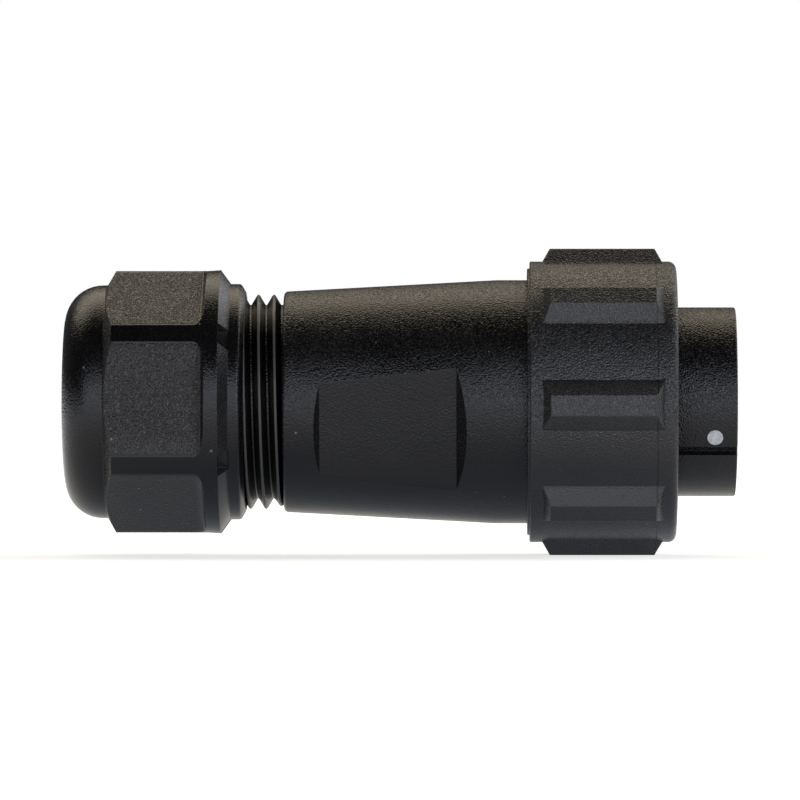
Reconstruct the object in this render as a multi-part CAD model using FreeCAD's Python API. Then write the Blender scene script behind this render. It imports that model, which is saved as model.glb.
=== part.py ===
import FreeCAD
import Part

import math
import os

# Inline socket connector for a round cable, with a cable gland at one end and a keyed barrel at the other.
# X is the connector's axis and points at the mate. The origin is the centre of the barrel's front rim.
# Z is up. Angles round the axis are in degrees from -Y, the side that faces a viewer, upwards to +Z.
# All lengths are in millimetres.

# Contacts
contact_count = 5
contact_circle = 4.3  # radius of the circle that the contacts stand on
first_contact_angle = 90.0
pin_radius = 1.0  # bore of a contact, for the mate's pin
pin_depth = 7.5
contact_wall = 0.45
contact_length = 21.5  # sleeve and stem, in front of the terminal
slit_width = 0.3
slit_length = 5.2
terminal_wall = 0.9  # from the wire's hole to the terminal's outside
terminal_length = 6.4
wire_radius = 0.95
wire_depth = 5.0
screw_radius = 0.85
screw_length = 1.9
screw_reach = 0.48  # from the wire hole's axis to the screw's foot
screw_chamfer = 0.14
screw_slot_width = 0.3
screw_slot_depth = 0.63
screw_from_end = 2.6  # from the terminal's rear end to the screw's axis

# Insert that holds the contacts, and what keeps it in the barrel
insert_recess = 1.0  # insert's face behind the barrel's rim
entry_wall = 0.9
entry_play = 0.25
entry_countersink = 0.35
insert_margin = 1.12  # plastic outside the contact cavities
insert_flange_height = 0.5
insert_flange_thickness = 1.5
insert_tail_step = 0.35
insert_tail_cover = 0.4  # insert's rear end behind the terminals
insert_key_width = 1.4
insert_key_height = 0.5
insert_front_round = 0.25
insert_rear_round = 0.3
insert_gasket_thickness = 0.5
retaining_ring_thickness = 2.2
retaining_ring_setback = 0.25  # behind it, to the barrel's rear end
spanner_slot_count = 4
spanner_slot_width = 1.6
spanner_slot_depth = 0.9

# Front barrel
barrel_wall = 1.75
barrel_reach = 5.72  # in front of the coupling ring
barrel_rim_round = 0.2
key_groove_angle = -31.1
key_groove_width = 0.95
key_groove_depth = 0.8
dot_angle = -22.1
dot_radius = 0.75
dot_depth = 0.12
dot_from_rim = 2.15
collar_height = 1.0
collar_thickness = 1.8
collar_round = 0.15
gasket_seat_depth = 0.2
gasket_thickness = 1.0
gasket_height = 0.95
gasket_round = 0.2
neck_height = 0.18
spigot_step = 0.12
spigot_length = 7.2
spigot_round = 0.3
o_ring_section = 0.9
o_ring_from_front = 1.5

# Coupling ring
ring_length = 14.11
ring_overlap = 2.63  # over the back shell's front end
ring_wall = 1.62
ring_front_round = 1.1
ring_rear_round = 0.12
ring_lip_length = 0.24  # low lip round the skirt's bore, behind the ring's rear face
ring_lip_height = 0.95
ring_lip_round = 0.2
web_thickness = 1.6
web_fillet = 0.3
coupling_gap = 1.4  # from the barrel to the ridges of the ring's thread, where the mate's sleeve goes
ring_mouth_chamfer = 0.4
rib_count = 8
rib_angle = -1.4
rib_height = 1.23
rib_top_width = 2.0
rib_side_slope = 44.0
rib_top_length = 10.1
rib_end_slope = 29.0
rib_from_rear = 1.27
rib_round = 0.12

# Back shell
shell_wall = 2.7
shell_straight = 5.86
shell_taper_length = 20.44
shell_rear_step = 0.3  # from the thread's crest out to the shoulder
shell_rear_round = 0.4
shell_taper_round = 6.0
shell_front_round = 0.25
wiring_bore_step = 0.68
bore_end_gap = 0.5
wiring_bore_taper = 1.2
flat_angle = -15.6
flat_wall = 1.47
flat_length = 13.06
flat_from_shoulder = 3.57
flat_end_slope = 30.0
flat_count = 2

# Threads of the gland and of the coupling ring, with a 1.5 mm pitch. Their ridges aren't cut here:
# a male thread is a plain cylinder at its root, and a female one is a plain bore at its major diameter.
thread_depth = 0.98
thread_play = 0.11
gland_thread_length = 13.3
thread_lead_in = 0.8

# Cable gland
cable_radius = 6.2  # the seal's bore, for the thickest cable
seal_wall = 1.2
seal_depth = 6.0  # inside the back shell
seal_round = 0.3
seal_groove_count = 3
seal_groove_width = 0.83
seal_groove_depth = 0.35
ledge_height = 0.7
spigot_wall = 1.92
exposed_thread = 3.7
claw_rim_height = 0.68
claw_rim_thickness = 1.25
claw_rim_round = 0.15
claw_wall = 1.7
finger_length = 3.3
finger_count = 12
finger_slot = 0.7
finger_angle = 90.0
finger_tip_chamfer = 1.5
lug_count = 4
lug_angle = 45.0
lug_width = 1.5
lug_height = 0.8
lug_length = 1.4

# Gland nut
nut_angle = 1.2
nut_wall = 0.92
corner_rise = 1.26  # from the hexagon's flats out to its round corners
hexagon_count = 6
dome_step = 0.12
dome_round = 3.65
dome_length = 4.11
nose_play = 0.4
nose_land = 1.87
nose_round = 0.4
rear_chamfer_angle = 60.0
flat_cove = 1.0  # where a flat runs out into the collar
nut_collar_length = 1.32
nut_collar_flare = 0.08
bevel_length = 0.98
notch_width = 2.2
notch_depth = 0.35  # below the flange's rim
flange_length = 1.42
flange_round = 0.35
flange_lip_run = 0.45
flange_lip_wall = 0.12

# Clearances
slip = 0.05  # pieces of one assembly that slide into each other
running = 0.18  # pieces that turn on each other
seat = 0.15  # a piece that rests on another and comes away from it
sunk = 0.1  # how far an added form starts below the surface that carries it

# Radii, from the contacts outwards
sleeve_radius = pin_radius + contact_wall
terminal_radius = wire_radius + terminal_wall
sleeve_cavity = sleeve_radius + slip
terminal_cavity = terminal_radius + slip
insert_radius = contact_circle + terminal_cavity + insert_margin
insert_tail_radius = insert_radius - insert_tail_step
insert_flange_radius = insert_radius + insert_flange_height
barrel_bore = insert_radius + slip
flange_bore = insert_flange_radius + slip
barrel_radius = barrel_bore + barrel_wall
gasket_seat_radius = barrel_radius - gasket_seat_depth
collar_radius = barrel_radius + collar_height
neck_radius = barrel_radius + neck_height
spigot_radius = barrel_radius - spigot_step
shell_bore = spigot_radius + slip
shell_radius = shell_bore + shell_wall
wiring_bore = shell_bore - wiring_bore_step
flat_distance = wiring_bore + flat_wall
coupling_minor = barrel_radius + coupling_gap
coupling_major = coupling_minor + thread_depth
skirt_bore = shell_radius + running
ring_radius = skirt_bore + ring_wall
rib_radius = ring_radius + rib_height

# Radii of the gland, from the cable outwards
seal_radius = cable_radius + seal_wall
gland_bore = seal_radius + slip
ledge_radius = cable_radius + ledge_height
thread_root = gland_bore + spigot_wall
thread_crest = thread_root + thread_depth
shell_rear_radius = thread_crest + shell_rear_step
claw_bore = seal_radius + slip
claw_radius = claw_bore + claw_wall
claw_rim_radius = claw_radius + claw_rim_height
nut_major = thread_crest + thread_play
nut_flat = nut_major + nut_wall
nut_corner = nut_flat + corner_rise
dome_radius = nut_flat - dome_step
nose_radius = cable_radius + nose_play

# Places along the axis, from the barrel's rim at 0 backwards
insert_front = -insert_recess
contact_front = insert_front - entry_wall
terminal_front = contact_front - contact_length
terminal_rear = terminal_front - terminal_length
insert_rear = terminal_rear - insert_tail_cover
screw_place = terminal_rear + screw_from_end
ring_front = -barrel_reach
ring_rear = ring_front - ring_length
shell_front = ring_rear + ring_overlap
web_rear = shell_front + running
web_front = web_rear + web_thickness
collar_rear = web_front + running
collar_front = collar_rear + collar_thickness
gasket_front = collar_front + gasket_thickness
barrel_rear = shell_front - spigot_length
retainer_rear = barrel_rear + retaining_ring_setback
retainer_front = retainer_rear + retaining_ring_thickness
insert_flange_rear = retainer_front + slip
insert_flange_front = insert_flange_rear + insert_flange_thickness
insert_step = insert_flange_front + insert_gasket_thickness + slip
shell_taper = shell_front - shell_straight
shoulder = shell_taper - shell_taper_length
spigot_end = shoulder - gland_thread_length
seal_front = spigot_end + seal_depth
nut_front = shoulder - exposed_thread
claw_front = spigot_end - seat
claw_rim_rear = claw_front - claw_rim_thickness
claw_tip = claw_rim_rear - finger_length
seal_rear = claw_tip + finger_tip_chamfer / 2
nut_relief_rear = claw_rim_rear - seat
nut_cone_front = claw_tip + finger_tip_chamfer
nut_throat = claw_radius + seat * math.sqrt(2)
nose_inside = nut_cone_front - (nut_throat - nose_radius)
nose_front = nose_inside - nose_land
hexagon_rear = nose_front + dome_length
hexagon_full = hexagon_rear + (nut_corner - dome_radius) / math.tan(math.radians(rear_chamfer_angle))
flange_rear = nut_front - flange_length
nut_collar_front = flange_rear - bevel_length
nut_collar_rear = nut_collar_front - nut_collar_length

AXIS = FreeCAD.Vector(1, 0, 0)
ORIGIN = FreeCAD.Vector(0, 0, 0)
UP = FreeCAD.Vector(0, 0, 1)


def rounded_corner(corner, before, after, radius):
    """Ends and middle of the arc that rounds a corner between two neighbours, kept within its sides."""
    to_before = (before - corner).normalize()
    to_after = (after - corner).normalize()
    half_angle = to_before.getAngle(to_after) / 2
    room = 0.45 * min(before.distanceToPoint(corner), after.distanceToPoint(corner))
    setback = min(radius / math.tan(half_angle), room)
    radius = setback * math.tan(half_angle)
    inwards = (to_before + to_after).normalize()
    middle = corner + inwards * (radius / math.sin(half_angle) - radius)
    return corner + to_before * setback, middle, corner + to_after * setback


def outline(points):
    """Closed face in the XZ plane through corners (x, r), where a third number rounds the corner."""
    corners = [FreeCAD.Vector(p[0], 0, p[1]) for p in points]
    pieces = []
    for i, corner in enumerate(corners):
        radius = points[i][2] if len(points[i]) > 2 else 0
        if radius > 0:
            pieces.append(rounded_corner(corner, corners[i - 1], corners[(i + 1) % len(corners)], radius))
        else:
            pieces.append((corner,))
    edges = []
    for i, piece in enumerate(pieces):
        if len(piece) == 3:
            edges.append(Part.Arc(*piece).toShape())
        following = pieces[(i + 1) % len(pieces)][0]
        edges.append(Part.LineSegment(piece[-1], following).toShape())
    return Part.Face(Part.Wire(edges))


def turned(points):
    """Solid of revolution round the axis."""
    return outline(points).revolve(ORIGIN, AXIS, 360)


def disc(rear, front, radius):
    """Cylinder on the axis between two places."""
    return Part.makeCylinder(radius, front - rear, FreeCAD.Vector(rear, 0, 0), AXIS)


def tube(rear, front, inner, outer):
    """Tube on the axis between two places."""
    return disc(rear, front, outer).cut(disc(rear, front, inner))


def at_angle(shape, angle):
    """Copy of a shape made on top of the axis, turned to an angle from the viewer's side."""
    copy = shape.copy()
    copy.rotate(ORIGIN, AXIS, 90 - angle)
    return copy


def around(shape, count, first_angle):
    """Copies of a shape made on top of the axis, evenly spaced round it."""
    return [at_angle(shape, first_angle + 360 * i / count) for i in range(count)]


def bar(rear, front, width, low, high):
    """Box on top of the axis, as wide as given, between two heights."""
    return Part.makeBox(front - rear, width, high - low, FreeCAD.Vector(rear, -width / 2, low))


def joined(solids):
    """One solid from several that overlap."""
    whole = solids[0].fuse(solids[1:])
    return whole.removeSplitter()


def contact_places():
    """Angle of each contact round the axis."""
    return [first_contact_angle + 360 * i / contact_count for i in range(contact_count)]


def raised(solid):
    """A solid made on the axis, moved up to the contact circle."""
    solid.translate(UP * contact_circle)
    return solid


def make_contact():
    """Female contact on top of the axis: slit sleeve, stem, and terminal with a wire's hole and a screw's."""
    sleeve = disc(terminal_front, contact_front, sleeve_radius)
    terminal = disc(terminal_rear, terminal_front, terminal_radius)
    contact = sleeve.fuse(terminal).removeSplitter()
    contact = contact.cut(disc(contact_front - pin_depth, contact_front, pin_radius))
    contact = contact.cut(disc(terminal_rear, terminal_rear + wire_depth, wire_radius))
    slit_rear = contact_front - slit_length
    upright = bar(slit_rear, contact_front, slit_width, -sleeve_radius, sleeve_radius)
    level = Part.makeBox(
        slit_length, 2 * sleeve_radius, slit_width, FreeCAD.Vector(slit_rear, -sleeve_radius, -slit_width / 2)
    )
    contact = contact.cut(upright).cut(level)
    screw_hole = Part.makeCylinder(
        screw_radius + slip, terminal_radius, FreeCAD.Vector(screw_place, 0, 0), UP
    )
    return raised(contact.cut(screw_hole))


def make_screw():
    """Slotted grub screw on top of the axis, half way down a terminal's screw hole."""
    screw = Part.makeCylinder(screw_radius, screw_length, FreeCAD.Vector(screw_place, 0, screw_reach), UP)
    rim = [e for e in screw.Edges if abs(e.BoundBox.ZMin - e.BoundBox.ZMax) < slip]
    screw = screw.makeChamfer(screw_chamfer, rim)
    slot_floor = screw_reach + screw_length - screw_slot_depth
    slot = Part.makeBox(
        2 * screw_radius, screw_slot_width, screw_slot_depth,
        FreeCAD.Vector(screw_place - screw_radius, -screw_slot_width / 2, slot_floor),
    )
    return raised(screw.cut(slot))


def contact_cavity():
    """Space that one contact, its screw and the mate's pin take in the insert."""
    entry_radius = pin_radius + entry_play
    entry = disc(contact_front, insert_front, entry_radius)
    countersink = Part.makeCone(
        entry_radius, entry_radius + entry_countersink, entry_countersink,
        FreeCAD.Vector(insert_front - entry_countersink, 0, 0), AXIS,
    )
    sleeve = disc(terminal_front, contact_front, sleeve_cavity)
    terminal = disc(insert_rear, terminal_front + slip, terminal_cavity)
    reach = insert_radius - contact_circle
    screw = Part.makeCylinder(screw_radius + 2 * slip, reach, FreeCAD.Vector(screw_place, 0, 0), UP)
    return raised(entry.fuse([countersink, sleeve, terminal, screw]))


def make_socket_insert():
    """Moulded insulator with a cavity for each contact, a flange that seats it, and a key on top."""
    body = turned([
        (insert_rear, 0),
        (insert_front, 0),
        (insert_front, insert_radius, insert_front_round),
        (insert_flange_front, insert_radius),
        (insert_flange_front, insert_flange_radius),
        (insert_flange_rear, insert_flange_radius),
        (insert_flange_rear, insert_tail_radius),
        (insert_rear, insert_tail_radius, insert_rear_round),
    ])
    key = bar(
        insert_step, insert_front - entry_wall, insert_key_width,
        insert_radius - insert_key_height, insert_radius + insert_key_height,
    )
    body = joined([body, key])
    for angle in contact_places():
        body = body.cut(at_angle(contact_cavity(), angle))
    return body


def make_insert_gasket():
    """Flat seal between the insert's flange and the step in the barrel."""
    front = insert_step - slip / 2
    return tube(front - insert_gasket_thickness, front, insert_radius + slip, insert_flange_radius)


def make_retaining_ring():
    """Ring screwed in behind the insert's flange, with slots for a pin spanner."""
    ring = tube(retainer_rear, retainer_front, insert_tail_radius + slip, flange_bore - slip)
    slot = bar(
        retainer_rear, retainer_rear + spanner_slot_depth, spanner_slot_width, insert_tail_radius, flange_bore
    )
    for cut in around(slot, spanner_slot_count, 0):
        ring = ring.cut(cut)
    return ring


def o_ring_centre():
    """Place and radius of the O-ring's section centre, just inside the back shell's bore."""
    return shell_front - o_ring_from_front, shell_bore - slip / 2 - o_ring_section / 2


def make_front_barrel():
    """Keyed barrel with a collar that traps the coupling ring, and a spigot that fits the back shell."""
    centre, centre_radius = o_ring_centre()
    half_groove = o_ring_section / 2 + slip
    groove_floor = centre_radius - o_ring_section / 2 - slip / 2
    barrel = turned([
        (0, barrel_bore),
        (0, barrel_radius, barrel_rim_round),
        (gasket_front, barrel_radius),
        (gasket_front, gasket_seat_radius),
        (collar_front, gasket_seat_radius),
        (collar_front, collar_radius, collar_round),
        (collar_rear, collar_radius, collar_round),
        (collar_rear, neck_radius),
        (shell_front + slip / 2, neck_radius),
        (shell_front + slip / 2, spigot_radius),
        (centre + half_groove, spigot_radius),
        (centre + half_groove, groove_floor),
        (centre - half_groove, groove_floor),
        (centre - half_groove, spigot_radius),
        (barrel_rear, spigot_radius, spigot_round),
        (barrel_rear, flange_bore),
        (insert_step, flange_bore),
        (insert_step, barrel_bore),
    ])
    groove = bar(
        gasket_front, 0, key_groove_width, barrel_radius - key_groove_depth, barrel_radius + sunk
    )
    barrel = barrel.cut(at_angle(groove, key_groove_angle))
    keyway = bar(
        insert_step, insert_front - entry_wall + slip, insert_key_width + 2 * slip,
        insert_radius - insert_key_height, insert_radius + insert_key_height + slip,
    )
    return barrel.cut(keyway).cut(make_index_dot())


def make_index_dot():
    """Paint that fills a round pocket beside the key groove, flush with the barrel."""
    peg = Part.makeCylinder(dot_radius, barrel_radius, FreeCAD.Vector(-dot_from_rim, 0, sunk), UP)
    skin = tube(-dot_from_rim - 2 * dot_radius, 0, barrel_radius - dot_depth, barrel_radius)
    return at_angle(peg.common(skin), dot_angle)


def make_face_gasket():
    """Flat ring on the collar, which the mate's sleeve presses."""
    front = gasket_front - slip / 2
    back = collar_front + slip / 2
    inner = gasket_seat_radius + slip
    outer = inner + gasket_height
    return turned([(back, inner), (front, inner), (front, outer, gasket_round), (back, outer)])


def make_spigot_o_ring():
    """O-ring in the spigot's groove."""
    centre, radius = o_ring_centre()
    return Part.makeTorus(radius, o_ring_section / 2, FreeCAD.Vector(centre, 0, 0), AXIS)


def coupling_rib():
    """One grip rib on top of the axis: a flat-topped block with sloping sides and ends, edges eased."""
    low = ring_radius - 2 * ring_wall / 3
    drop = rib_radius - low
    half_widths = rib_top_width / 2 + drop * math.tan(math.radians(rib_side_slope)), rib_top_width / 2
    half_lengths = rib_top_length / 2 + drop * math.tan(math.radians(rib_end_slope)), rib_top_length / 2
    end_run = rib_height * math.tan(math.radians(rib_end_slope))
    middle = ring_rear + rib_from_rear + end_run + rib_top_length / 2
    rings = []
    for height, half_width, half_length in zip((low, rib_radius), half_widths, half_lengths):
        corners = [
            FreeCAD.Vector(middle + i * half_length, j * half_width, height)
            for i, j in ((-1, -1), (1, -1), (1, 1), (-1, 1))
        ]
        rings.append(Part.makePolygon(corners + corners[:1]))
    block = Part.makeLoft(rings, True, True)
    eased = [e for e in block.Edges if e.BoundBox.ZMax > rib_radius - slip]
    return block.makeFillet(rib_round, eased)


def make_coupling_ring():
    """Ring nut with grip ribs outside, and inside a skirt over the shell, a web and a thread for the mate."""
    ring = turned([
        (ring_rear - ring_lip_length, skirt_bore),
        (ring_rear - ring_lip_length, skirt_bore + ring_lip_height, ring_lip_round),
        (ring_rear, skirt_bore + ring_lip_height),
        (ring_rear, ring_radius, ring_rear_round),
        (ring_front, ring_radius, ring_front_round),
        (ring_front, coupling_major + ring_mouth_chamfer),
        (ring_front - ring_mouth_chamfer, coupling_major),
        (web_front, coupling_major, web_fillet),
        (web_front, neck_radius + running),
        (web_rear, neck_radius + running),
        (web_rear, skirt_bore),
    ])
    return joined([ring] + around(coupling_rib(), rib_count, rib_angle))


def flat_cutter():
    """Space above one spanner flat, on top of the axis, with sloping ends."""
    front = shoulder + flat_from_shoulder + flat_length
    rear = shoulder + flat_from_shoulder
    top = 2 * shell_radius
    run = (top - flat_distance) * math.tan(math.radians(flat_end_slope))
    corners = [
        (rear, flat_distance), (front, flat_distance), (front + run, top), (rear - run, top),
    ]
    face = outline(corners)
    face.translate(FreeCAD.Vector(0, -shell_radius, 0))
    return face.extrude(FreeCAD.Vector(0, 2 * shell_radius, 0))


def make_back_shell():
    """Tapered housing with spanner flats, a bore for the barrel's spigot, a wiring space and a gland spigot."""
    shell = turned([
        (spigot_end, gland_bore),
        (spigot_end, thread_root - thread_lead_in / 2),
        (spigot_end + thread_lead_in / 2, thread_root),
        (shoulder, thread_root),
        (shoulder, shell_rear_radius, shell_rear_round),
        (shell_taper, shell_radius, shell_taper_round),
        (shell_front, shell_radius, shell_front_round),
        (shell_front, shell_bore),
        (barrel_rear - bore_end_gap, shell_bore),
        (barrel_rear - bore_end_gap, wiring_bore),
        (shoulder + wiring_bore_taper, wiring_bore),
        (shoulder, ledge_radius),
        (seal_front + seat, ledge_radius),
        (seal_front + seat, gland_bore),
    ])
    for cutter in around(flat_cutter(), flat_count, flat_angle):
        shell = shell.cut(cutter)
    keyway = bar(
        spigot_end, claw_front + lug_length + seat * 2, lug_width + 2 * seat, gland_bore - sunk,
        gland_bore + lug_height + slip,
    )
    for cut in around(keyway, lug_count, lug_angle):
        shell = shell.cut(cut)
    return shell


def make_cable_seal():
    """Rubber sleeve with shallow grooves in its bore, which the claw squeezes onto the cable."""
    spacing = (seal_front - seal_rear) / (seal_groove_count + 1)
    half = seal_groove_width / 2
    points = [
        (seal_rear, seal_radius, seal_round),
        (seal_front, seal_radius, seal_round),
        (seal_front, cable_radius, seal_round),
    ]
    for i in range(seal_groove_count):
        middle = seal_front - spacing * (i + 1)
        points += [
            (middle + half, cable_radius),
            (middle, cable_radius + seal_groove_depth),
            (middle - half, cable_radius),
        ]
    points.append((seal_rear, cable_radius, seal_round))
    return turned(points)


def make_clamping_claw():
    """Collet: a rim caught in the nut, fingers that its cone bends inwards, and lugs that stop it turning."""
    claw = turned([
        (claw_tip, claw_bore),
        (claw_tip, claw_radius - finger_tip_chamfer),
        (claw_tip + finger_tip_chamfer, claw_radius),
        (claw_rim_rear, claw_radius),
        (claw_rim_rear, claw_rim_radius, claw_rim_round),
        (claw_front, claw_rim_radius, claw_rim_round),
        (claw_front, claw_bore),
    ])
    slot = bar(claw_tip, claw_rim_rear - finger_slot, finger_slot, claw_bore - sunk, claw_radius + sunk)
    for cut in around(slot, finger_count, finger_angle):
        claw = claw.cut(cut)
    lug = bar(
        claw_front - sunk, claw_front + lug_length, lug_width, claw_bore + slip, gland_bore + lug_height
    )
    band = tube(claw_front - sunk, claw_front + lug_length, claw_bore + slip, gland_bore + lug_height - slip)
    return joined([claw] + [lug_copy.common(band) for lug_copy in around(lug, lug_count, lug_angle)])


def nut_flat_cutter():
    """Space above one of the nut's flats, on top of the axis, with a coved end at the collar."""
    top = 2 * nut_corner
    face = outline([
        (nose_front, nut_flat),
        (nut_collar_rear, nut_flat, flat_cove),
        (nut_collar_rear, top),
        (nose_front, top),
    ])
    face.translate(FreeCAD.Vector(0, -nut_corner, 0))
    return face.extrude(FreeCAD.Vector(0, 2 * nut_corner, 0))


def make_gland_nut():
    """Domed hexagon nut with a round collar, a notched bevel and a flange, and inside a thread and a cone."""
    nut = turned([
        (nose_front, 0),
        (nose_front, dome_radius, dome_round),
        (hexagon_rear, dome_radius),
        (hexagon_full, nut_corner),
        (nut_collar_rear, nut_corner),
        (nut_collar_front, nut_corner + nut_collar_flare),
        (flange_rear, nut_flat),
        (nut_front - flange_lip_run, nut_flat, flange_round),
        (nut_front, nut_major + flange_lip_wall),
        (nut_front, 0),
    ])
    inside = turned([
        (nose_front - sunk, 0),
        (nose_front - sunk, nose_radius + nose_round + sunk),
        (nose_front + nose_round, nose_radius),
        (nose_inside, nose_radius),
        (nut_cone_front, nut_throat),
        (nut_relief_rear, nut_throat),
        (nut_relief_rear, nut_major),
        (nut_front + sunk, nut_major),
        (nut_front + sunk, 0),
    ])
    notch = bar(nut_collar_front, flange_rear, notch_width, nut_flat - notch_depth, 2 * nut_corner)
    first_corner = nut_angle + 180 / hexagon_count
    cutters = around(nut_flat_cutter(), hexagon_count, nut_angle)
    cutters += around(notch, hexagon_count, first_corner)
    for cutter in cutters:
        nut = nut.cut(cutter)
    return nut.cut(inside)


def build():
    """Every piece of the connector by name."""
    pieces = {
        "back_shell": make_back_shell(),
        "front_barrel": make_front_barrel(),
        "index_dot": make_index_dot(),
        "face_gasket": make_face_gasket(),
        "spigot_o_ring": make_spigot_o_ring(),
        "socket_insert": make_socket_insert(),
        "insert_gasket": make_insert_gasket(),
        "insert_retaining_ring": make_retaining_ring(),
        "coupling_ring": make_coupling_ring(),
        "gland_nut": make_gland_nut(),
        "clamping_claw": make_clamping_claw(),
        "cable_seal": make_cable_seal(),
    }
    for i, angle in enumerate(contact_places()):
        pieces[f"socket_contact_{i + 1}"] = at_angle(make_contact(), angle)
        pieces[f"terminal_screw_{i + 1}"] = at_angle(make_screw(), angle)
    return pieces


def export(pieces):
    """One STEP file for each piece."""
    os.makedirs("parts", exist_ok=True)
    for name, shape in pieces.items():
        shape.exportStep(f"parts/{name}.step")


export(build())
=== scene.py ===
import math

import bmesh
import bpy
from mathutils import Matrix, Vector

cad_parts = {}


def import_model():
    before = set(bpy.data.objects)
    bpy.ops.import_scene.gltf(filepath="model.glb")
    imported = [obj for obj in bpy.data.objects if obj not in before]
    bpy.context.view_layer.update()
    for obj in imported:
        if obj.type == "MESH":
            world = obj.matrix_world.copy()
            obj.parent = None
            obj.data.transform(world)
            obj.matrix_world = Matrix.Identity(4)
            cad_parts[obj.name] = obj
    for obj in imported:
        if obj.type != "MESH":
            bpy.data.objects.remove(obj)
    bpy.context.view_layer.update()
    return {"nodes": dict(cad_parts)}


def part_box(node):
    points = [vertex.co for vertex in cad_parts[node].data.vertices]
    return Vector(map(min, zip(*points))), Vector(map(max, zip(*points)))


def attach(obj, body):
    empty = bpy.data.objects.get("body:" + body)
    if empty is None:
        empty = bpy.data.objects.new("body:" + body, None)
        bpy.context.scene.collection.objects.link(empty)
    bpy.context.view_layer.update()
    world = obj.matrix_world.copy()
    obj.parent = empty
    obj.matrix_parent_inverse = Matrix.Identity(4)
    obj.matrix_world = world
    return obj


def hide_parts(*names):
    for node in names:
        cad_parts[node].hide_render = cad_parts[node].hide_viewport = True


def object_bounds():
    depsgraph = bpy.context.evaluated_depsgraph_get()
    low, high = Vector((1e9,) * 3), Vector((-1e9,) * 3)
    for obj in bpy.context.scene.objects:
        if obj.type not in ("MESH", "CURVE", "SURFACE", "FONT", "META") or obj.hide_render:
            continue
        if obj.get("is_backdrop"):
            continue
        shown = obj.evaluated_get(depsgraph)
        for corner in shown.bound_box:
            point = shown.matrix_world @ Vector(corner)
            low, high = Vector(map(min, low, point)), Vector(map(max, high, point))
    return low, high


# Looks of the inline socket connector. Metres, with X along the connector's axis towards its mate,
# Z up and the origin at the centre of the barrel's front rim. The camera looks along +Y.

MM = 0.001

# Photograph's frame
IMAGE_SIDE = 800
PIXELS_PER_METRE = 10350.0
CAMERA_DISTANCE = 0.7066
BARREL_RIM_COLUMN = 734.7
SQUARE_COLUMN = 483.4  # where the line of sight is square to the connector's axis
AXIS_ROW = 401.8
SENSOR_WIDTH = 36
CLIP_NEAR = 0.05
CLIP_FAR = 20

# Threads, as the solids leave room for them
THREAD_PITCH = 1.5 * MM
THREAD_CREST_FLAT = 0.2 * MM
THREAD_ROOT_FLAT = 0.1 * MM
THREAD_EASE = 0.12  # share of a flank that is cut off to ease the crest
THREAD_EASED_CREST = 0.6  # share of the crest's flat that the easing leaves
THREAD_SUNK = 0.03 * MM  # how far the ridge's foot goes into the surface that it stands on
THREAD_STEPS = 96  # to a turn
THREAD_FADE_STEPS = THREAD_STEPS / 4  # in which a ridge rises at its ends
SHOULDER = -43.5 * MM
GLAND_ROOT = 9.37 * MM
GLAND_CREST = 10.35 * MM
GLAND_CREST_FROM_SHOULDER = 2.5 * MM
GLAND_THREAD_INSET = 0.1 * MM
NUT_MAJOR = 10.46 * MM
NUT_MINOR = 9.87 * MM  # lets the claw's rim pass
NUT_THREAD_LENGTH = 9.3 * MM
NUT_THREAD_INSET = 0.2 * MM
RING_MAJOR = 11.5 * MM
RING_MINOR = 10.52 * MM
RING_THREAD_LENGTH = 8.9 * MM
RING_THREAD_INSET = 0.5 * MM

# Gland nut's flats and bevel: places along the axis, and the radius that the flats stay within
NUT_FLATS = (-60.6 * MM, -51.25 * MM)
NUT_FLATS_FADE = 0.1 * MM
NUT_CORNER = 12.58 * MM
NUT_BEVEL = (-49.62 * MM, -48.6 * MM)
NUT_BEVEL_FADE = 0.05 * MM

# Gland nut's domed end, whose corner the solid rounds off less than the real one
DOME_RADIUS = 11.26 * MM
DOME_ROUND = 3.65 * MM
DOME_ROUND_SOLID = 1.8495 * MM
DOME_SLACK = 0.001 * MM  # takes in the vertices where the rounding ends

# Small marks: centre and radius in millimetres
NUT_SPECKS = (((-50.15, -11.78, -4.67), 0.16), ((-51.3, -10.2, 7.4), 0.09), ((-55.3, -6.6, -8.4), 0.1))
NUT_NICKS = (((-55.8, -4.88, -10.35), 0.26), ((-54.9, -4.8, -10.4), 0.16))
SHELL_SPECKS = (((-23.75, -10.6, 4.74), 0.13), ((-37.9, -10.9, 2.5), 0.1), ((-41.2, -10.8, -3.6), 0.09))
SHELL_NICKS = (((-32.75, -9.9, -2.5), 0.17), ((-32.8, -9.9, -2.95), 0.15))
MARK_CORE = 0.7  # share of a mark's radius that has its full colour

# Coupling ring: radius of the ribs' feet, and the parting line's place and half widths
RIB_FOOT = 13.65 * MM
RIB_FADE = 0.05 * MM
PARTING_LINE = -7.73 * MM
PARTING_LINE_CORE = 0.03 * MM
PARTING_LINE_EDGE = 0.07 * MM

# Black nylon's tones, each piece's darker or paler with its finish; crests and bevel paler as painted light
NYLON = (0.0036, 0.0036, 0.0038)
SHELL_PATCH = (0.0075, 0.0074, 0.0078)
RING_BODY = (0.014, 0.0138, 0.0148)
RING_RIB = (0.021, 0.0207, 0.0225)
NUT_FLAT = (0.023, 0.022, 0.0215)
# The nut's bevel is painted paler: painted light for what it catches from the right
NUT_BEVEL_PAINTED_LIGHT = (0.018, 0.018, 0.0195)
CLAW = (0.03, 0.03, 0.03)
THREAD_GROOVE = (0.002, 0.002, 0.002)
# Pale tone from the crest radius outwards: a painted highlight on the gland thread's crests
THREAD_CREST_PAINTED_HIGHLIGHT = (0.075, 0.075, 0.077)
THREAD_CREST_RADII = (10.25 * MM, 10.33 * MM)  # between which the groove's tone passes into the crest's
SPECK = (0.2, 0.19, 0.18)
NICK = (0.0015, 0.0015, 0.0015)
SHEEN_TINT = (0.9, 0.92, 1.0)
RING_SPECULAR = 0.65

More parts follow.
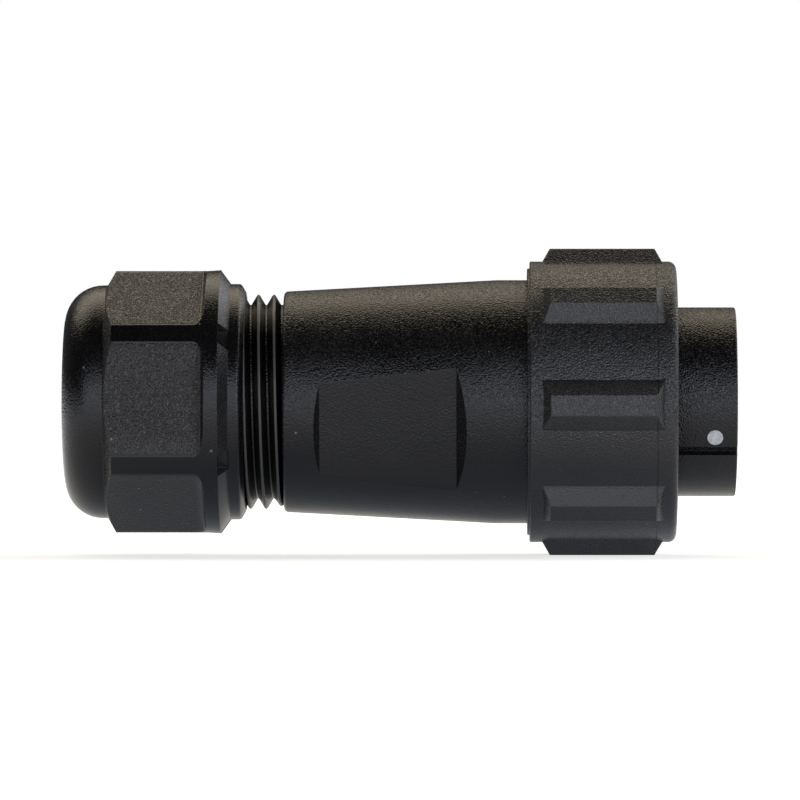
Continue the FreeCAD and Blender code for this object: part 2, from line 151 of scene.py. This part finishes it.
# Nylon's roughness between the grains
NYLON_ROUGHNESS = 0.17
NUT_ROUGHNESS = 0.18
RING_ROUGHNESS = 0.2
RIB_ROUGHNESS_ADDED = 0.04
CLAW_ROUGHNESS = 0.36
THREAD_ROUGHNESS = (0.2, 0.28)
THREAD_CREST_ROUGHNESS_ADDED = 0.15

# How strong the grain is on each piece
BARREL_GRAIN = 0.95
SHELL_GRAIN = 0.85
RING_GRAIN = 1.2
RIB_GRAIN_ADDED = -0.3
NUT_GRAIN = 0.45
NUT_FLAT_GRAIN_ADDED = 1.15
CLAW_GRAIN = 0.3

# Nylon's grain. A noise's scale is in features per metre.
GRAIN_DEPTH = 0.05 * MM
GRAIN_FINE = 6500
GRAIN_FINE_WEIGHT = 1.4
GRAIN_COARSE = 2600
GRAIN_COARSE_WEIGHT = 0.2
GRAIN_ENDS = (-6.5 * MM, -3.5 * MM)  # heights between which it fades towards the underside
GRAIN_UNDERSIDE = 0.3  # share of it that is left there
MATT_GRAINS = 6800
MATT_GRAINS_RANGE = (0.47, 0.6)
MATT_GRAINS_ROUGHNESS = 0.3
PATCHES = 220
PATCHES_RANGE = (0.35, 0.65)
PATCHES_TONE = (0.85, 1.18)
PATCHES_ROUGHNESS = (-0.03, 0.03)
DUST = 1500
DUST_RANGE = (0.8, 0.83)

# Sharp edges are shaded as if rounded by these radii
EDGE_SAMPLES = 6
NYLON_EDGE = 0.15 * MM
INSERT_EDGE = 0.1 * MM
METAL_EDGE = 0.04 * MM

# Other materials
BLOOM_TONES = ((0.016, 0.016, 0.017), (0.032, 0.032, 0.033))
BLOOM_ROUGHNESS = (0.55, 0.72)
INSERT_TONES = ((0.035, 0.035, 0.037), (0.05, 0.05, 0.052))
INSERT_ROUGHNESS = (0.36, 0.46)
GOLD = (0.83, 0.62, 0.28)
GOLD_ROUGHNESS = 0.22
ZINC = (0.62, 0.62, 0.6)
ZINC_ROUGHNESS = 0.28
STAIN = 0.72  # of the metal's own colour
STAIN_ROUGHNESS_ADDED = 0.12
PAINT_TONES = ((0.78, 0.84, 0.9), (0.55, 0.6, 0.68))
PAINT_ROUGHNESS = 0.5

# Floor, by the distance from the point under the object's middle
FLOOR_HALF = 3.0
FLOOR_GLOW = 0.66
FLOOR_GLOW_FAR = 1.0
FLOOR_GLOW_SHADED = 0.3
FLOOR_SHADED = 0.04
FLOOR_NEAR = 0.1
FLOOR_FAR = 0.35
FLOOR_WHITE = (0.9, 0.9, 0.9)
FLOOR_MIRRORED = (0.88, 0.93, 1.0)

# Lamps and world
WHITE = (1, 1, 1)
WARM_LIGHT = (1.0, 0.87, 0.66)
COOL_LIGHT = (0.92, 0.94, 1.0)
STUDIO_LIGHT = (0.95, 0.97, 1.0)
WORLD_FRONT = 0.02
WORLD_BEHIND = 0.07
WORLD_PASSAGE = (-0.15, 0.5)  # the direction's Y, over which one passes into the other


class Graph:
    """Shader nodes of a material or a world, made one after another."""

    def __init__(self, owner):
        owner.use_nodes = True
        self.tree = owner.node_tree
        self.tree.nodes.clear()

    def add(self, kind, **settings):
        """New node with its settings."""
        node = self.tree.nodes.new(kind)
        for key, value in settings.items():
            setattr(node, key, value)
        return node

    def feed(self, target, value):
        """Gives an input another node's output, a colour or a number."""
        if isinstance(value, bpy.types.NodeSocket):
            self.tree.links.new(value, target)
        elif isinstance(value, tuple):
            target.default_value = (*value, 1)
        else:
            target.default_value = value

    def span(self, source, low, high, to_low=0.0, to_high=1.0):
        """Source mapped from one range to another, kept within it."""
        node = self.add("ShaderNodeMapRange")
        self.feed(node.inputs["Value"], source)
        self.feed(node.inputs["From Min"], low)
        self.feed(node.inputs["From Max"], high)
        self.feed(node.inputs["To Min"], to_low)
        self.feed(node.inputs["To Max"], to_high)
        return node.outputs["Result"]

    def math(self, operation, *values):
        """Arithmetic on sockets or numbers."""
        node = self.add("ShaderNodeMath", operation=operation)
        for target, value in zip(node.inputs, values):
            self.feed(target, value)
        return node.outputs["Value"]

    def raised(self, base, mask, amount):
        """Socket or number that is raised by an amount where a mask is 1."""
        return self.math("ADD", base, self.math("MULTIPLY", mask, amount))

    def mix(self, factor, a, b, blend="MIX"):
        """Mix of two colours. All three are sockets or values."""
        node = self.add("ShaderNodeMix", data_type="RGBA", blend_type=blend)
        self.feed(node.inputs["Factor"], factor)
        for name, value in (("A", a), ("B", b)):
            self.feed(next(s for s in node.inputs if s.name == name and s.type == "RGBA"), value)
        return next(s for s in node.outputs if s.type == "RGBA")


class Recipe(Graph):
    """A material's nodes. Its noise, places and masks are in the object's own space, in metres."""

    def __init__(self, name):
        self.material = bpy.data.materials.new(name)
        super().__init__(self.material)
        self.output = self.add("ShaderNodeOutputMaterial")
        self.place = self.add("ShaderNodeTexCoord").outputs["Object"]

    def noise(self, scale, detail=2.0, roughness=0.5, stretch=(1, 1, 1)):
        """Noise with a scale in features per metre."""
        mapping = self.add("ShaderNodeMapping")
        mapping.inputs["Scale"].default_value = stretch
        self.feed(mapping.inputs["Vector"], self.place)
        noise = self.add("ShaderNodeTexNoise")
        self.feed(noise.inputs["Scale"], scale)
        self.feed(noise.inputs["Detail"], detail)
        self.feed(noise.inputs["Roughness"], roughness)
        self.feed(noise.inputs["Vector"], mapping.outputs["Vector"])
        return noise.outputs["Fac"]

    def coordinate(self, axis):
        """Place along X, Y or Z."""
        split = self.add("ShaderNodeSeparateXYZ")
        self.feed(split.inputs["Vector"], self.place)
        return split.outputs[axis]

    def distance_from(self, point):
        """Distance from a point."""
        away = self.add("ShaderNodeVectorMath", operation="DISTANCE")
        self.feed(away.inputs[0], self.place)
        away.inputs[1].default_value = point
        return away.outputs["Value"]

    def from_axis(self):
        """Distance from the connector's axis."""
        across = self.add("ShaderNodeVectorMath", operation="MULTIPLY")
        self.feed(across.inputs[0], self.place)
        across.inputs[1].default_value = (0, 1, 1)
        length = self.add("ShaderNodeVectorMath", operation="LENGTH")
        self.feed(length.inputs[0], across.outputs["Vector"])
        return length.outputs["Value"]

    def between(self, ends, fade):
        """Mask that is 1 between two places along the connector's axis, and fades just inside them."""
        rear, front = ends
        place = self.coordinate("X")
        rising = self.span(place, rear, rear + fade)
        falling = self.span(place, front - fade, front, 1.0, 0.0)
        return self.math("MULTIPLY", rising, falling)

    def marks(self, tone, marks, colour):
        """Small round marks of one colour on a tone, each at its place."""
        for place, radius in marks:
            away = self.distance_from([c * MM for c in place])
            mark = self.span(away, radius * MARK_CORE * MM, radius * MM, 1.0, 0.0)
            tone = self.mix(mark, tone, colour)
        return tone

    def eased_edges(self, radius):
        """Normal that rounds sharp edges off by a radius."""
        node = self.add("ShaderNodeBevel", samples=EDGE_SAMPLES)
        self.feed(node.inputs["Radius"], radius)
        return node.outputs["Normal"]

    def bump(self, height, distance, strength=1.0, normal=None):
        """Bump from a height socket. The distance is in metres."""
        node = self.add("ShaderNodeBump")
        self.feed(node.inputs["Height"], height)
        self.feed(node.inputs["Distance"], distance)
        self.feed(node.inputs["Strength"], strength)
        if normal is not None:
            self.feed(node.inputs["Normal"], normal)
        return node.outputs["Normal"]

    def principled(self, colour, roughness, normal, **others):
        """The shader at the end, and the material that it makes. All are sockets or values."""
        shader = self.add("ShaderNodeBsdfPrincipled")
        self.feed(shader.inputs["Base Color"], colour)
        self.feed(shader.inputs["Roughness"], roughness)
        self.feed(shader.inputs["Normal"], normal)
        for name, value in others.items():
            self.feed(shader.inputs[name.replace("_", " ")], value)
        self.feed(self.output.inputs["Surface"], shader.outputs["BSDF"])
        return self.material


def nylon_grain(recipe, amount, base, roughness, groove=None, **others):
    """Black glass-filled nylon with a spark-eroded grain. Amount, base and roughness are values or sockets.
    A groove socket is 1 at the middle of a fine groove, and 0 elsewhere."""
    fading = recipe.span(recipe.coordinate("Z"), *GRAIN_ENDS, GRAIN_UNDERSIDE, 1.0)
    amount = recipe.math("MULTIPLY", fading, amount)
    fine = recipe.noise(GRAIN_FINE, detail=0.0)
    coarse = recipe.noise(GRAIN_COARSE, detail=1.0)
    height = recipe.raised(recipe.math("MULTIPLY", fine, GRAIN_FINE_WEIGHT), coarse, GRAIN_COARSE_WEIGHT)
    height = recipe.math("MULTIPLY", height, amount)
    if groove is not None:
        height = recipe.math("SUBTRACT", height, groove)
    normal = recipe.bump(height, GRAIN_DEPTH, normal=recipe.eased_edges(NYLON_EDGE))

    patches = recipe.noise(PATCHES, detail=3.0, roughness=0.6)
    tone = recipe.mix(1.0, base, recipe.span(patches, *PATCHES_RANGE, *PATCHES_TONE), blend="MULTIPLY")
    dust = recipe.span(recipe.noise(DUST, detail=1.0, roughness=0.4), *DUST_RANGE)
    tone = recipe.mix(dust, tone, SPECK)

    # Matt grains among smooth ones: a lamp's narrow image sparkles, the broad floor's does not.
    grains = recipe.noise(MATT_GRAINS, detail=0.0)
    rough = recipe.span(grains, *MATT_GRAINS_RANGE, 0, MATT_GRAINS_ROUGHNESS)
    rough = recipe.math("MULTIPLY", rough, amount)
    rough = recipe.math("ADD", rough, recipe.span(patches, *PATCHES_RANGE, *PATCHES_ROUGHNESS))
    rough = recipe.math("ADD", rough, roughness)
    return recipe.principled(tone, rough, normal, Specular_Tint=SHEEN_TINT, **others)


def even_plastic(name, grain, colour, roughness):
    """Nylon with the same finish all over, for the barrel and the inner pieces."""
    return nylon_grain(Recipe(name), grain, colour, roughness)


def shell_plastic(name):
    """Back shell: a light grain, with a few specks and nicks."""
    recipe = Recipe(name)
    patch = recipe.span(recipe.noise(90, detail=1.0), 0.4, 0.6)
    base = recipe.mix(patch, NYLON, SHELL_PATCH)
    base = recipe.marks(base, SHELL_SPECKS, SPECK)
    base = recipe.marks(base, SHELL_NICKS, NICK)
    return nylon_grain(recipe, SHELL_GRAIN, base, NYLON_ROUGHNESS)


def ring_plastic(name):
    """Coupling ring: grained round body, paler and finer ribs, and a fine parting line."""
    recipe = Recipe(name)
    rib = recipe.span(recipe.from_axis(), RIB_FOOT, RIB_FOOT + RIB_FADE)
    line = recipe.math("ABSOLUTE", recipe.math("SUBTRACT", recipe.coordinate("X"), PARTING_LINE))
    line = recipe.span(line, PARTING_LINE_CORE, PARTING_LINE_EDGE, 1.0, 0.0)
    base = recipe.mix(rib, RING_BODY, RING_RIB)
    base = recipe.mix(line, base, NICK)
    amount = recipe.raised(RING_GRAIN, rib, RIB_GRAIN_ADDED)
    roughness = recipe.raised(RING_ROUGHNESS, rib, RIB_ROUGHNESS_ADDED)
    return nylon_grain(recipe, amount, base, roughness, groove=line, Specular_IOR_Level=RING_SPECULAR)


def nut_plastic(name):
    """Gland nut: strong grain on the hexagon's flats, and a fine one elsewhere."""
    recipe = Recipe(name)
    inside = recipe.span(recipe.from_axis(), NUT_CORNER - NUT_FLATS_FADE, NUT_CORNER, 1.0, 0.0)
    flats = recipe.math("MULTIPLY", recipe.between(NUT_FLATS, NUT_FLATS_FADE), inside)
    base = recipe.mix(flats, NYLON, NUT_FLAT)
    # Painted light: the bevel band is paler, for the light that it catches from the right
    base = recipe.mix(recipe.between(NUT_BEVEL, NUT_BEVEL_FADE), base, NUT_BEVEL_PAINTED_LIGHT)
    base = recipe.marks(base, NUT_SPECKS, SPECK)
    base = recipe.marks(base, NUT_NICKS, NICK)
    amount = recipe.raised(NUT_GRAIN, flats, NUT_FLAT_GRAIN_ADDED)
    return nylon_grain(recipe, amount, base, NUT_ROUGHNESS)


def thread_plastic(name):
    """The same nylon where it is moulded smooth, paler from the gland thread's crest radius outwards as a
    painted highlight.
    """
    recipe = Recipe(name)
    crest = recipe.span(recipe.from_axis(), *THREAD_CREST_RADII)
    # From the crest radius outwards the tone is paler, a painted highlight
    tone = recipe.mix(crest, THREAD_GROOVE, THREAD_CREST_PAINTED_HIGHLIGHT)
    rough = recipe.span(recipe.noise(400), 0.3, 0.7, *THREAD_ROUGHNESS)
    rough = recipe.raised(rough, crest, THREAD_CREST_ROUGHNESS_ADDED)
    normal = recipe.bump(recipe.noise(5000, stretch=(0.2, 1, 1)), 0.006 * MM, strength=0.5)
    return recipe.principled(tone, rough, normal)


def rubber(name):
    """Soft black rubber with a dull bloom."""
    recipe = Recipe(name)
    bloom = recipe.span(recipe.noise(350, detail=4.0, roughness=0.6), 0.4, 0.65)
    tone = recipe.mix(bloom, *BLOOM_TONES)
    normal = recipe.bump(recipe.noise(4000), 0.01 * MM, strength=0.4)
    return recipe.principled(tone, recipe.span(bloom, 0, 1, *BLOOM_ROUGHNESS), normal)


def insert_plastic(name):
    """Smooth dark grey thermoplastic with a faint satin grain."""
    recipe = Recipe(name)
    broad = recipe.noise(300, detail=3.0)
    tone = recipe.mix(recipe.span(broad, 0.35, 0.65), *INSERT_TONES)
    edges = recipe.eased_edges(INSERT_EDGE)
    normal = recipe.bump(recipe.noise(6000), 0.01 * MM, strength=0.5, normal=edges)
    return recipe.principled(tone, recipe.span(broad, 0.3, 0.7, *INSERT_ROUGHNESS), normal)


def turned_metal(name, colour, roughness):
    """Plated metal with fine turning lines round the connector's axis."""
    recipe = Recipe(name)
    stain = recipe.noise(900, detail=3.0, roughness=0.6)
    tone = recipe.mix(recipe.span(stain, 0.4, 0.7), colour, tuple(c * STAIN for c in colour))
    rough = recipe.span(stain, 0.3, 0.7, roughness, roughness + STAIN_ROUGHNESS_ADDED)
    lines = recipe.noise(9000, roughness=0.6, stretch=(1, 0.04, 0.04))
    normal = recipe.bump(lines, 0.004 * MM, strength=0.5, normal=recipe.eased_edges(METAL_EDGE))
    return recipe.principled(tone, rough, normal, Metallic=1.0)


def dot_paint(name):
    """Slightly blue white paint, a little uneven."""
    recipe = Recipe(name)
    patch = recipe.noise(2500)
    tone = recipe.mix(recipe.span(patch, 0.35, 0.7), *PAINT_TONES)
    normal = recipe.bump(patch, 0.03 * MM, strength=0.6)
    return recipe.principled(tone, PAINT_ROUGHNESS, normal)


def dress(node, material):
    """Gives a piece its one material."""
    node.data.materials.clear()
    node.data.materials.append(material)


def rounder_dome(nut):
    """Copy of the gland nut with the full rounding of its domed end, scaled up about the corner it rounds."""
    mesh = nut.data.copy()
    mesh.name = "gland_nut_domed"
    normals = [corner.vector.copy() for corner in mesh.corner_normals]
    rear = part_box("gland_nut")[0].x
    reach = DOME_ROUND_SOLID + DOME_SLACK
    scale = DOME_ROUND / DOME_ROUND_SOLID
    for vertex in mesh.vertices:
        x, y, z = vertex.co
        radius = math.hypot(y, z)
        if x - rear > reach or DOME_RADIUS - radius > reach:
            continue
        wanted = DOME_RADIUS - (DOME_RADIUS - radius) * scale
        vertex.co = (rear + (x - rear) * scale, y * wanted / radius, z * wanted / radius)
    mesh.normals_split_custom_set(normals)
    piece = bpy.data.objects.new("gland_nut_domed", mesh)
    bpy.context.scene.collection.objects.link(piece)
    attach(piece, "nut")
    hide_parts("gland_nut")
    return piece


def ridge_profile(root, crest, outward):
    """Section of a thread's ridge: radii and offsets along the axis, from its rear foot to its front one."""
    half_crest = THREAD_CREST_FLAT / 2
    flank = (THREAD_PITCH - THREAD_ROOT_FLAT) / 2 - half_crest
    foot = root - outward * THREAD_SUNK
    eased = root + (crest - root) * (1 - THREAD_EASE)
    rising = [
        (foot, -half_crest - flank),
        (eased, -half_crest - flank * THREAD_EASE),
        (crest, -half_crest * THREAD_EASED_CREST),
    ]
    return rising + [(radius, -offset) for radius, offset in reversed(rising)]


def thread_piece(name, body, material, rear, front, root, crest, crest_place):
    """Helical ridge on a root cylinder, or in a bore where the crest is the smaller radius."""
    outward = 1 if crest > root else -1
    profile = ridge_profile(root, crest, outward)
    first = math.floor((rear - crest_place) / THREAD_PITCH * THREAD_STEPS)
    last = math.ceil((front - crest_place) / THREAD_PITCH * THREAD_STEPS)
    shape = bmesh.new()
    rings = []
    for step in range(first, last + 1):
        turn = 2 * math.pi * step / THREAD_STEPS
        middle = crest_place + THREAD_PITCH * step / THREAD_STEPS
        fade = min(1.0, (step - first) / THREAD_FADE_STEPS, (last - step) / THREAD_FADE_STEPS)
        ring = []
        for radius, offset in profile:
            lifted = root + (radius - root) * (fade if (radius - root) * outward > 0 else 1)
            x = min(max(middle + offset, rear), front)
            # A right-hand helix: going along +X, the crest turns from the top towards -Y.
            ring.append(shape.verts.new((x, -lifted * math.sin(turn), lifted * math.cos(turn))))
        rings.append(ring)
    for before, after in zip(rings, rings[1:]):
        for i in range(len(profile) - 1):
            corners = (before[i], after[i], after[i + 1], before[i + 1])
            shape.faces.new(corners if outward > 0 else corners[::-1])
    bmesh.ops.recalc_face_normals(shape, faces=shape.faces)
    mesh = bpy.data.meshes.new(name)
    shape.to_mesh(mesh)
    shape.free()
    mesh.shade_smooth()
    mesh.materials.append(material)
    piece = bpy.data.objects.new(name, mesh)
    bpy.context.scene.collection.objects.link(piece)
    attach(piece, body)


def softbox(name, target, elevation, azimuth, distance, width, height, radiance, colour):
    """Rectangular lamp of a given radiance, at an elevation from the camera's side. Past 90 it is behind."""
    up = math.radians(elevation)
    aside = math.radians(azimuth)
    away = Vector((math.sin(aside) * math.cos(up), -math.cos(aside) * math.cos(up), math.sin(up)))
    light = bpy.data.lights.new(name, "AREA")
    light.shape = "RECTANGLE"
    light.size = width
    light.size_y = height
    light.energy = radiance * math.pi * width * height
    light.color = colour
    lamp = bpy.data.objects.new(name, light)
    lamp.location = target + away * distance
    side = Vector((math.cos(aside), math.sin(aside), 0))
    turn = Matrix((side, away.cross(side), away)).transposed()
    lamp.rotation_mode = "QUATERNION"
    lamp.rotation_quaternion = turn.to_quaternion()
    bpy.context.scene.collection.objects.link(lamp)


def make_floor(height, middle):
    """White floor that keeps the object's shadow."""
    mesh = bpy.data.meshes.new("floor")
    signs = ((-1, -1), (1, -1), (1, 1), (-1, 1))
    corners = [(middle + i * FLOOR_HALF, j * FLOOR_HALF, height) for i, j in signs]
    mesh.from_pydata(corners, [], [(0, 1, 2, 3)])
    floor = bpy.data.objects.new("floor", mesh)
    bpy.context.scene.collection.objects.link(floor)

    # White where it is looked at and where it is mirrored. A mirrored view of what lies close
    # under the object is of its shade.
    recipe = Recipe("floor_white")
    away = recipe.distance_from((middle, 0, height))
    open_floor = recipe.span(away, FLOOR_NEAR, FLOOR_FAR, FLOOR_GLOW, FLOOR_GLOW_FAR)
    shade = recipe.span(away, FLOOR_SHADED, FLOOR_NEAR, FLOOR_GLOW_SHADED - FLOOR_GLOW, 0.0)
    path = recipe.add("ShaderNodeLightPath").outputs
    looked = recipe.math("MULTIPLY", path["Is Camera Ray"], open_floor)
    mirrored = recipe.math("MAXIMUM", path["Is Glossy Ray"], path["Is Transmission Ray"])
    mirrored = recipe.math("MULTIPLY", mirrored, recipe.math("ADD", open_floor, shade))
    matt = recipe.add("ShaderNodeBsdfDiffuse")
    recipe.feed(matt.inputs["Color"], FLOOR_WHITE)
    surface = matt.outputs["BSDF"]
    for strength, colour in ((looked, WHITE), (mirrored, FLOOR_MIRRORED)):
        glow = recipe.add("ShaderNodeEmission")
        recipe.feed(glow.inputs["Color"], colour)
        recipe.feed(glow.inputs["Strength"], strength)
        both = recipe.add("ShaderNodeAddShader")
        recipe.feed(both.inputs[0], surface)
        recipe.feed(both.inputs[1], glow.outputs["Emission"])
        surface = both.outputs["Shader"]
    recipe.feed(recipe.output.inputs["Surface"], surface)
    mesh.materials.append(recipe.material)
    floor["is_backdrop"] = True


def make_world():
    """White where it is looked at. Elsewhere a studio that is dim on the camera's side and paler behind."""
    world = bpy.data.worlds.new("studio")
    bpy.context.scene.world = world
    graph = Graph(world)
    direction = graph.add("ShaderNodeSeparateXYZ")
    graph.feed(direction.inputs["Vector"], graph.add("ShaderNodeTexCoord").outputs["Generated"])
    level = graph.span(direction.outputs["Y"], *WORLD_PASSAGE, WORLD_FRONT, WORLD_BEHIND)
    choice = graph.add("ShaderNodeMixShader")
    graph.feed(choice.inputs["Fac"], graph.add("ShaderNodeLightPath").outputs["Is Camera Ray"])
    for place, colour, strength in ((1, STUDIO_LIGHT, level), (2, WHITE, 1.0)):
        background = graph.add("ShaderNodeBackground")
        graph.feed(background.inputs["Color"], colour)
        graph.feed(background.inputs["Strength"], strength)
        graph.feed(choice.inputs[place], background.outputs["Background"])
    output = graph.add("ShaderNodeOutputWorld")
    graph.feed(output.inputs["Surface"], choice.outputs["Shader"])


def make_camera():
    """Level camera, almost straight on to the side."""
    data = bpy.data.cameras.new("camera")
    data.sensor_width = SENSOR_WIDTH
    data.lens = data.sensor_width * CAMERA_DISTANCE * PIXELS_PER_METRE / IMAGE_SIDE
    data.clip_start = CLIP_NEAR
    data.clip_end = CLIP_FAR
    camera = bpy.data.objects.new("camera", data)
    height = (AXIS_ROW - IMAGE_SIDE / 2) / PIXELS_PER_METRE
    camera.location = ((SQUARE_COLUMN - BARREL_RIM_COLUMN) / PIXELS_PER_METRE, -CAMERA_DISTANCE, height)
    aside = (SQUARE_COLUMN - IMAGE_SIDE / 2) / PIXELS_PER_METRE
    camera.rotation_euler = (math.pi / 2, 0, math.atan(aside / CAMERA_DISTANCE))
    bpy.context.scene.collection.objects.link(camera)
    bpy.context.scene.camera = camera


def dress_all(nodes):
    """Gives each CAD node its material, and the gland nut its rounder end."""
    gold = turned_metal("contact_gold", GOLD, GOLD_ROUGHNESS)
    zinc = turned_metal("screw_zinc", ZINC, ZINC_ROUGHNESS)
    for name, node in nodes.items():
        if name.startswith("socket_contact"):
            dress(node, gold)
        elif name.startswith("terminal_screw"):
            dress(node, zinc)
    dress(nodes["back_shell"], shell_plastic("shell_grain"))
    dress(nodes["front_barrel"], even_plastic("barrel_grain", BARREL_GRAIN, NYLON, NYLON_ROUGHNESS))
    dress(nodes["coupling_ring"], ring_plastic("ring_grain"))
    dress(rounder_dome(nodes["gland_nut"]), nut_plastic("nut_grain"))
    dress(nodes["socket_insert"], insert_plastic("insert_satin"))
    dress(nodes["index_dot"], dot_paint("dot_white"))
    smooth = even_plastic("claw_smooth", CLAW_GRAIN, CLAW, CLAW_ROUGHNESS)
    for name in ("clamping_claw", "insert_retaining_ring"):
        dress(nodes[name], smooth)
    seal = rubber("seal_rubber")
    for name in ("cable_seal", "face_gasket", "spigot_o_ring", "insert_gasket"):
        dress(nodes[name], seal)


def add_threads():
    """The gland's thread and the nut's, which mesh when the nut is tightened, and the coupling ring's."""
    satin = thread_plastic("thread_satin")
    shell_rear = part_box("back_shell")[0].x
    nut_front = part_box("gland_nut")[1].x - NUT_THREAD_INSET
    ring_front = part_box("coupling_ring")[1].x - RING_THREAD_INSET
    crest_place = SHOULDER - GLAND_CREST_FROM_SHOULDER
    thread_piece(
        "gland_thread", "shell", satin, shell_rear + GLAND_THREAD_INSET, SHOULDER,
        GLAND_ROOT, GLAND_CREST, crest_place,
    )
    thread_piece(
        "nut_thread", "nut", satin, nut_front - NUT_THREAD_LENGTH, nut_front,
        NUT_MAJOR, NUT_MINOR, crest_place + THREAD_PITCH / 2,
    )
    thread_piece(
        "ring_thread", "ring", satin, ring_front - RING_THREAD_LENGTH, ring_front,
        RING_MAJOR, RING_MINOR, ring_front,
    )


def add_lamps(middle):
    """Four soft boxes: one high behind for the bright tops, one in front, and two to the right."""
    softbox("back_top", middle, 124, 0, 0.85, width=1.5, height=0.62, radiance=1.65, colour=WARM_LIGHT)
    softbox("front", middle, 5, -8, 0.9, width=1.5, height=0.6, radiance=1.5, colour=COOL_LIGHT)
    softbox("right_strip", middle, 16, 36, 0.9, width=0.4, height=0.5, radiance=2.4, colour=STUDIO_LIGHT)
    softbox("right", middle, 13, 120, 0.9, width=1.4, height=0.7, radiance=1.1, colour=STUDIO_LIGHT)


def main():
    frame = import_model()
    dress_all(frame["nodes"])
    add_threads()

    low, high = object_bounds()
    make_floor(low.z, (low.x + high.x) / 2)
    make_world()
    add_lamps(Vector(((low.x + high.x) / 2, 0, 0)))
    make_camera()
    view = bpy.context.scene.view_settings
    view.view_transform = "Standard"

    low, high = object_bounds()


main()
